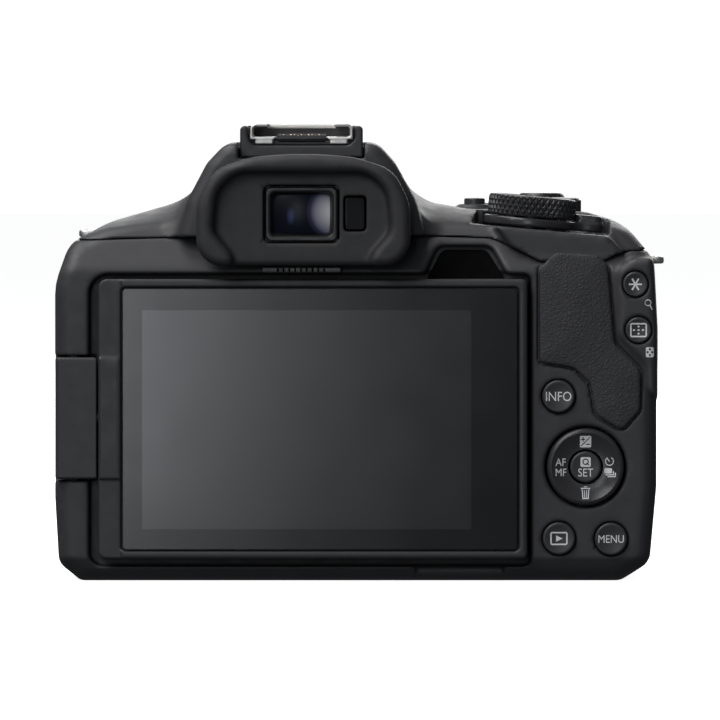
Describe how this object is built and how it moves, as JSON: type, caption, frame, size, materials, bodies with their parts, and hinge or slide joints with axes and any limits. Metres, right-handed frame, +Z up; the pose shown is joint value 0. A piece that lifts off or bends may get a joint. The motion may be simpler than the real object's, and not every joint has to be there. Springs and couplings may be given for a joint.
{
  "type": "compact mirrorless camera body",
  "caption": "Compact mirrorless camera body shaped like a small DSLR, with a side-hinged swivel screen, viewfinder hump, hot shoe, pop-up flash and open lens mount.",
  "frame": {"origin": "centre of the bounding box at the base: the bottom of the body stands at Z = 0", "axes": "+X towards the grip seen from behind, +Y towards the subject (out of the lens mount), +Z up"},
  "size_m": [0.1162, 0.0688, 0.087],
  "materials": {
    "black_plastic": "fine moulded texture, matte black",
    "black_rubber": "matte black rubber, leather grain on the grips",
    "button_plastic": "semi-matte black",
    "screen_glass": "glossy dark cover glass",
    "lens_glass": "coated optical glass",
    "bare_metal": "brushed, lightly worn",
    "dark_metal": "blackened metal",
    "circuit_board": "solder mask",
    "sensor_glass": "coated cover glass",
    "clear_plastic": "clear ribbed",
    "battery_case": "dark grey",
    "card_case": "dark blue"
  },
  "bodies": {
    "root": {"rear_cover": "black_plastic", "front_cover": "black_plastic", "base_cover": "black_plastic", "top_cover": "black_plastic", "eyepiece_frame": "black_plastic", "evf_barrel": "black_plastic", "hot_shoe_base": "black_plastic", "hot_shoe_contacts": "black_plastic", "mount_contacts": "black_plastic", "grip_rubber": "black_rubber", "thumb_rest": "black_rubber", "eyecup": "black_rubber", "eye_sensor_window": "screen_glass", "evf_display": "screen_glass", "eyepiece_lens": "lens_glass", "hot_shoe_rails": "bare_metal", "mount_ring": "bare_metal", "tripod_socket": "bare_metal", "strap_lug_left": "bare_metal", "strap_lug_right": "bare_metal", "lcd_hinge_pin": "dark_metal", "chassis": "dark_metal", "shutter_unit": "dark_metal", "sensor_frame": "dark_metal", "main_board": "circuit_board", "image_sensor": "sensor_glass", "af_assist_lamp": "clear_plastic", "battery": "battery_case", "memory_card": "card_case"},
    "lcd_hinge": {"lcd_hinge_block": "black_plastic", "lcd_tilt_shaft": "dark_metal"},
    "screen": {"lcd_back_shell": "black_plastic", "lcd_bezel": "black_plastic", "lcd_glass": "screen_glass", "lcd_panel": "screen_glass"},
    "flash": {"flash_cover": "black_plastic", "flash_lens": "clear_plastic", "flash_reflector": "bare_metal"},
    "mode_dial": {"mode_dial": "button_plastic"},
    "power_lever": {"power_lever": "button_plastic"},
    "main_dial": {"main_dial": "button_plastic"},
    "shutter_button": {"shutter_button": "button_plastic"},
    "iso_button": {"iso_button": "button_plastic"},
    "movie_button": {"movie_button": "button_plastic"},
    "ae_lock_button": {"ae_lock_button": "button_plastic"},
    "af_point_button": {"af_point_button": "button_plastic"},
    "info_button": {"info_button": "button_plastic"},
    "playback_button": {"playback_button": "button_plastic"},
    "menu_button": {"menu_button": "button_plastic"},
    "set_button": {"set_button": "button_plastic"},
    "cross_key_gimbal": {"cross_key_gimbal": "button_plastic"},
    "cross_key_plate": {"cross_key_plate": "button_plastic"},
    "lens_release_button": {"lens_release_button": "button_plastic"},
    "lens_lock_pin": {"lens_lock_pin": "bare_metal"},
    "battery_door": {"battery_door": "black_plastic"},
    "battery_door_latch": {"battery_door_latch": "button_plastic"},
    "mic_cover": {"mic_cover": "black_rubber"},
    "terminal_cover": {"terminal_cover": "black_rubber"},
    "diopter_slider": {"diopter_slider": "button_plastic"}
  },
  "joints": [
    {"name": "lcd_swing", "type": "hinge", "parent": "root", "child": "lcd_hinge", "pos_m": [-0.0545, -0.0215, 0.03105], "axis": [0, 0, -1], "range_deg": [0, 175]},
    {"name": "lcd_tilt", "type": "hinge", "parent": "lcd_hinge", "child": "screen", "pos_m": [-0.0498, -0.023, 0.03105], "axis": [-1, 0, 0], "range_deg": [0, 270]},
    {"name": "flash_lift", "type": "hinge", "parent": "root", "child": "flash", "pos_m": [-0.0112, -0.015, 0.0818], "axis": [1, 0, 0], "range_deg": [0, 65]},
    {"name": "mode_dial_turn", "type": "hinge", "parent": "root", "child": "mode_dial", "pos_m": [0.0328, -0.01, 0.0712], "axis": [0.0906, 0, 0.9959], "continuous": true},
    {"name": "power_switch", "type": "hinge", "parent": "root", "child": "power_lever", "pos_m": [0.0328, -0.01, 0.0712], "axis": [0.0906, 0, 0.9959], "range_deg": [0, 35]},
    {"name": "main_dial_turn", "type": "hinge", "parent": "root", "child": "main_dial", "pos_m": [0.0362, 0.0115, 0.0683], "axis": [0, 0, 1], "continuous": true},
    {"name": "shutter_press", "type": "slide", "parent": "root", "child": "shutter_button", "axis": [0, 0, -1], "range_m": [0, 0.0015], "stiffness_N_per_m": 500},
    {"name": "iso_press", "type": "slide", "parent": "root", "child": "iso_button", "axis": [0, 0, -1], "range_m": [0, 0.0007], "stiffness_N_per_m": 500},
    {"name": "movie_press", "type": "slide", "parent": "root", "child": "movie_button", "axis": [0, 0, -1], "range_m": [0, 0.0007], "stiffness_N_per_m": 500},
    {"name": "ae_lock_press", "type": "slide", "parent": "root", "child": "ae_lock_button", "axis": [0, 1, 0], "range_m": [0, 0.0007], "stiffness_N_per_m": 500},
    {"name": "af_point_press", "type": "slide", "parent": "root", "child": "af_point_button", "axis": [0, 1, 0], "range_m": [0, 0.0007], "stiffness_N_per_m": 500},
    {"name": "info_press", "type": "slide", "parent": "root", "child": "info_button", "axis": [0, 1, 0], "range_m": [0, 0.0007], "stiffness_N_per_m": 500},
    {"name": "playback_press", "type": "slide", "parent": "root", "child": "playback_button", "axis": [0, 1, 0], "range_m": [0, 0.0007], "stiffness_N_per_m": 500},
    {"name": "menu_press", "type": "slide", "parent": "root", "child": "menu_button", "axis": [0, 1, 0], "range_m": [0, 0.0007], "stiffness_N_per_m": 500},
    {"name": "set_press", "type": "slide", "parent": "root", "child": "set_button", "axis": [0, 1, 0], "range_m": [0, 0.0007], "stiffness_N_per_m": 500},
    {"name": "keys_up_down", "type": "hinge", "parent": "root", "child": "cross_key_gimbal", "pos_m": [0.04275, -0.023, 0.0218], "axis": [1, 0, 0], "range_deg": [-2.5, 2.5], "stiffness_Nm_per_rad": 0.05},
    {"name": "keys_left_right", "type": "hinge", "parent": "cross_key_gimbal", "child": "cross_key_plate", "pos_m": [0.04275, -0.023, 0.0218], "axis": [0, 0, 1], "range_deg": [-2.5, 2.5], "stiffness_Nm_per_rad": 0.05},
    {"name": "lens_release", "type": "slide", "parent": "root", "child": "lens_release_button", "axis": [0, -1, 0], "range_m": [0, 0.0018], "stiffness_N_per_m": 600},
    {"name": "lock_pin_slide", "type": "slide", "parent": "root", "child": "lens_lock_pin", "axis": [0, -1, 0], "range_m": [0, 0.0018]},
    {"name": "battery_door_hinge", "type": "hinge", "parent": "root", "child": "battery_door", "pos_m": [0.0332, 0.007, 0.0009], "axis": [0, 1, 0], "range_deg": [0, 95]},
    {"name": "battery_latch_slide", "type": "slide", "parent": "battery_door", "child": "battery_door_latch", "axis": [-1, 0, 0], "range_m": [0, 0.003]},
    {"name": "mic_cover_hinge", "type": "hinge", "parent": "root", "child": "mic_cover", "pos_m": [-0.0574, -0.0032, 0.05], "axis": [0, 0, 1], "range_deg": [0, 100]},
    {"name": "terminal_cover_hinge", "type": "hinge", "parent": "root", "child": "terminal_cover", "pos_m": [0.0556, -0.0032, 0.032], "axis": [0, 0, -1], "range_deg": [0, 100]},
    {"name": "diopter_slide", "type": "slide", "parent": "root", "child": "diopter_slider", "axis": [1, 0, 0], "range_m": [-0.002, 0.002]}
  ],
  "couplings": [
    {"joint": "lcd_tilt", "follows": "lcd_swing", "ratio": 0.15},
    {"joint": "lock_pin_slide", "follows": "lens_release", "ratio": 1}
  ]
}
